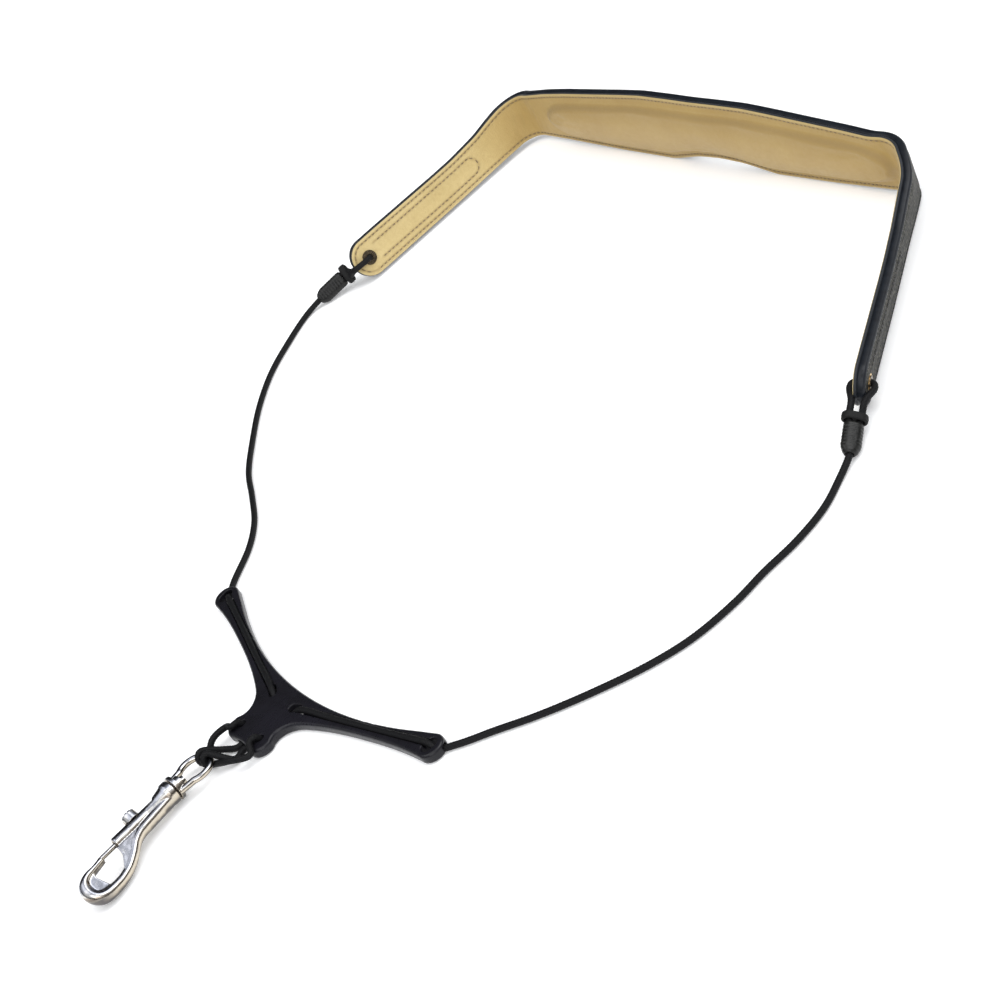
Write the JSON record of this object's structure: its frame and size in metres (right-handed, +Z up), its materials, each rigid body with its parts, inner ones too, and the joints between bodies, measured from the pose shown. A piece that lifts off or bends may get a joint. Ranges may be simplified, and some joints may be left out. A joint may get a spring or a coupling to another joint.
{
  "type": "saxophone neck strap",
  "caption": "Instrument neck strap: padded leather neck band, thin cords through a V-shaped adjusting plate, and a swivel bolt snap.",
  "frame": {"origin": "centre of the adjusting plate's flat back, on the table plane", "axes": "+Z up from the table; +Y from the snap towards the neck band, along the plate's line of symmetry; +X across the plate"},
  "size_m": [0.3467, 0.3823, 0.0325],
  "materials": {
    "black_leather": "fine pebbled grain, semi-matt",
    "cream_leather": "smooth nappa, satin",
    "foam": "closed-cell foam, matt",
    "webbing": "woven nylon, matt",
    "brown_thread": "bonded polyester thread, satin",
    "black_thread": "bonded polyester thread, satin",
    "black_metal": "black lacquer, gloss",
    "brass": "polished",
    "cord": "tight braid, satin",
    "rubber": "matt",
    "shrink_tube": "gloss",
    "plate_resin": "polished, navy tint",
    "nickel": "nickel plate, polished",
    "spring_steel": "drawn wire"
  },
  "bodies": {
    "neck_band": {"outer_leather": "black_leather", "foam_core": "foam", "lining_leather": "cream_leather", "left_tail_reinforcement": "webbing", "right_tail_reinforcement": "webbing", "inner_edge_thread": "brown_thread", "outer_edge_thread": "black_thread", "left_inner_channel_thread": "brown_thread", "left_outer_channel_thread": "black_thread", "right_inner_channel_thread": "brown_thread", "right_outer_channel_thread": "black_thread", "left_eyelet": "black_metal", "right_eyelet": "black_metal", "left_eyelet_washer": "brass", "right_eyelet_washer": "brass", "left_end_loop": "cord", "right_end_loop": "cord", "left_keeper": "rubber", "right_keeper": "rubber", "left_sleeve": "shrink_tube", "right_sleeve": "shrink_tube", "left_cord": "cord", "right_cord": "cord"},
    "yoke": {"yoke_plate": "plate_resin", "left_arm_cord": "cord", "right_arm_cord": "cord", "left_end_knot": "cord", "right_end_knot": "cord"},
    "hook_loops": {"left_hook_loop": "cord", "right_hook_loop": "cord"},
    "eye": {"swivel_eye": "nickel"},
    "snap": {"swivel_rivet": "nickel", "snap_body": "nickel"},
    "latch": {"plunger": "nickel", "thumb_piece": "nickel", "plunger_spring": "spring_steel"}
  },
  "joints": [
    {"name": "plate_adjust", "type": "slide", "parent": "neck_band", "child": "yoke", "axis": [0, 1, 0], "range_m": [0, 0.06], "deforming": ["left_cord", "right_cord"]},
    {"name": "loop_payout", "type": "slide", "parent": "yoke", "child": "hook_loops", "axis": [0, -1, 0], "range_m": [0, 0.02], "deforming": ["left_hook_loop", "right_hook_loop"]},
    {"name": "eye_swing", "type": "hinge", "parent": "hook_loops", "child": "eye", "pos_m": [-0.00717, -0.03154, 0.00382], "axis": [0.9858, 0.1678, 0], "range_deg": [-90, 0]},
    {"name": "snap_swivel", "type": "hinge", "parent": "eye", "child": "snap", "pos_m": [-0.0042, -0.049, 0.0056], "axis": [0.167, -0.9809, 0.1], "continuous": true},
    {"name": "plunger_slide", "type": "slide", "parent": "snap", "child": "latch", "axis": [-0.167, 0.9809, -0.1], "range_m": [0, 0.0065], "stiffness_N_per_m": 120, "springref_m": -0.003, "deforming": ["plunger_spring"]}
  ],
  "couplings": [
    {"joint": "loop_payout", "follows": "plate_adjust", "ratio": 0.33}
  ]
}
